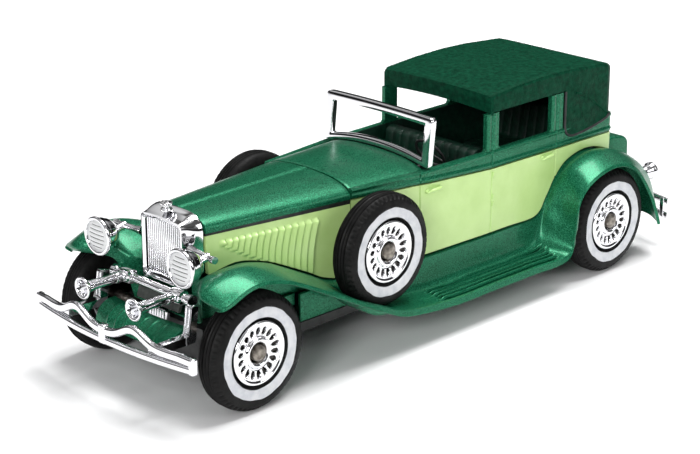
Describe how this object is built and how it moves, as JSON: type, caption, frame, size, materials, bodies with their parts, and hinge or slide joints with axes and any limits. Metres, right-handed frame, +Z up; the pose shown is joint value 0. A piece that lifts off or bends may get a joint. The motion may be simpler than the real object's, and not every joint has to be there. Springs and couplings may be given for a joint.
{
  "type": "diecast collector car",
  "caption": "Small diecast touring car with an open driver's seat, closed rear cabin, flowing wings, side-mounted spare wheels and plated trim; its wheels turn freely.",
  "frame": {"origin": "on the ground under the middle of the car", "axes": "+Z up, -Y towards the front bumper, +X towards the car's left side"},
  "size_m": [0.0388, 0.1204, 0.0377],
  "materials": {
    "green_paint": "metallic gloss",
    "light_green_paint": "gloss",
    "roof_skin": "grained satin",
    "seat_plastic": "satin",
    "black_plastic": "satin",
    "tyre": "matt black rubber with a pale painted band on the outer wall",
    "chrome": "bright plated",
    "steel": "dull",
    "headlamp_lens": "gloss, with printed bars",
    "tail_lens": "gloss"
  },
  "bodies": {
    "car": {"axle_front": "steel", "axle_rear": "steel", "base_screw_front": "steel", "base_screw_rear": "steel", "baseplate": "black_plastic", "bonnet_side_left": "light_green_paint", "bonnet_side_right": "light_green_paint", "bonnet_top": "green_paint", "bumper_iron_left": "chrome", "bumper_iron_right": "chrome", "cabin_floor": "black_plastic", "crank_cover": "chrome", "dashboard": "black_plastic", "front_apron": "green_paint", "front_bumper": "chrome", "front_seat": "seat_plastic", "headlamp_bar_left": "chrome", "headlamp_bar_right": "chrome", "headlamp_bowl_left": "chrome", "headlamp_bowl_right": "chrome", "headlamp_lens_left": "headlamp_lens", "headlamp_lens_right": "headlamp_lens", "horn_left": "chrome", "horn_right": "chrome", "lower_body": "light_green_paint", "partition": "black_plastic", "radiator_cap": "chrome", "radiator_core": "chrome", "radiator_shell": "chrome", "radiator_strip": "green_paint", "rear_bumper": "chrome", "rear_seat": "seat_plastic", "roof": "roof_skin", "spare_pin_left": "steel", "spare_pin_right": "steel", "steering_wheel": "black_plastic", "tail_lamp_left": "chrome", "tail_lamp_right": "chrome", "tail_lens_left": "tail_lens", "tail_lens_right": "tail_lens", "tie_bar": "chrome", "trunk": "green_paint", "trunk_handle": "black_plastic", "upper_body": "green_paint", "windscreen_frame": "chrome", "wing_casting": "green_paint"},
    "wheel_front_left": {"tyre_front_left": "tyre", "wheel_disc_front_left": "chrome"},
    "wheel_front_right": {"tyre_front_right": "tyre", "wheel_disc_front_right": "chrome"},
    "wheel_rear_left": {"tyre_rear_left": "tyre", "wheel_disc_rear_left": "chrome"},
    "wheel_rear_right": {"tyre_rear_right": "tyre", "wheel_disc_rear_right": "chrome"},
    "wheel_spare_left": {"tyre_spare_left": "tyre", "wheel_disc_spare_left": "chrome"},
    "wheel_spare_right": {"tyre_spare_right": "tyre", "wheel_disc_spare_right": "chrome"}
  },
  "joints": [
    {"name": "front_left_spin", "type": "hinge", "parent": "car", "child": "wheel_front_left", "pos_m": [0.01664, -0.0448, 0.00947], "axis": [1, 0, 0], "continuous": true},
    {"name": "front_right_spin", "type": "hinge", "parent": "car", "child": "wheel_front_right", "pos_m": [-0.01664, -0.0448, 0.00947], "axis": [1, 0, 0], "continuous": true},
    {"name": "rear_left_spin", "type": "hinge", "parent": "car", "child": "wheel_rear_left", "pos_m": [0.01664, 0.0394, 0.00947], "axis": [1, 0, 0], "continuous": true},
    {"name": "rear_right_spin", "type": "hinge", "parent": "car", "child": "wheel_rear_right", "pos_m": [-0.01664, 0.0394, 0.00947], "axis": [1, 0, 0], "continuous": true},
    {"name": "spare_left_spin", "type": "hinge", "parent": "car", "child": "wheel_spare_left", "pos_m": [0.0151, -0.0155, 0.0176], "axis": [1, 0, 0], "continuous": true},
    {"name": "spare_right_spin", "type": "hinge", "parent": "car", "child": "wheel_spare_right", "pos_m": [-0.0151, -0.0155, 0.0176], "axis": [1, 0, 0], "continuous": true}
  ]
}
